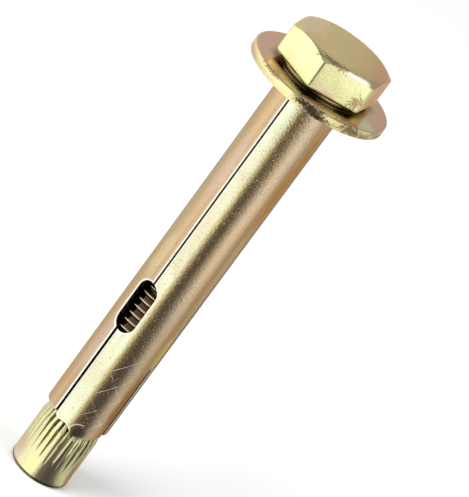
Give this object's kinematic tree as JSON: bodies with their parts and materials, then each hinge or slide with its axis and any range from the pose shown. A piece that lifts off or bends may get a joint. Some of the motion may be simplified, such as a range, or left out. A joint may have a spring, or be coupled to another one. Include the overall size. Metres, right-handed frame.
{
  "type": "sleeve anchor",
  "caption": "Hex-head sleeve anchor: bolt, wide washer, windowed and slit sleeve, and ribbed cone nut that spreads the sleeve in a drilled hole.",
  "frame": {"origin": "centre of the nut's end face, on which the anchor stands", "axes": "+Z along the bolt towards its head, -Y towards the side that the picture shows, 25 to 34 degrees to the right of the seam, the window and the first slit"},
  "size_m": [0.0258, 0.0258, 0.0932],
  "materials": {
    "bolt_zinc": "yellow zinc, satin",
    "washer_zinc": "yellow zinc, satin, pinkish brown",
    "sleeve_zinc": "yellow zinc, smooth",
    "nut_zinc": "yellow zinc, smooth"
  },
  "bodies": {
    "sleeve": {"sleeve": "sleeve_zinc"},
    "bolt": {"hex_bolt": "bolt_zinc"},
    "nut": {"cone_nut": "nut_zinc"},
    "washer": {"flat_washer": "washer_zinc"}
  },
  "joints": [
    {"name": "bolt_turn", "type": "hinge", "parent": "sleeve", "child": "bolt", "pos_m": [0, 0, 0.05], "axis": [0, 0, 1], "range_deg": [0, 2520]},
    {"name": "nut_travel", "type": "slide", "parent": "sleeve", "child": "nut", "axis": [0, 0, 1], "range_m": [-0.0105, 0]},
    {"name": "washer_spin", "type": "hinge", "parent": "sleeve", "child": "washer", "pos_m": [0, 0, 0.08545], "axis": [0, 0, 1], "continuous": true}
  ],
  "couplings": [
    {"joint": "nut_travel", "follows": "bolt_turn", "m_per_rad": -0.00023873}
  ]
}
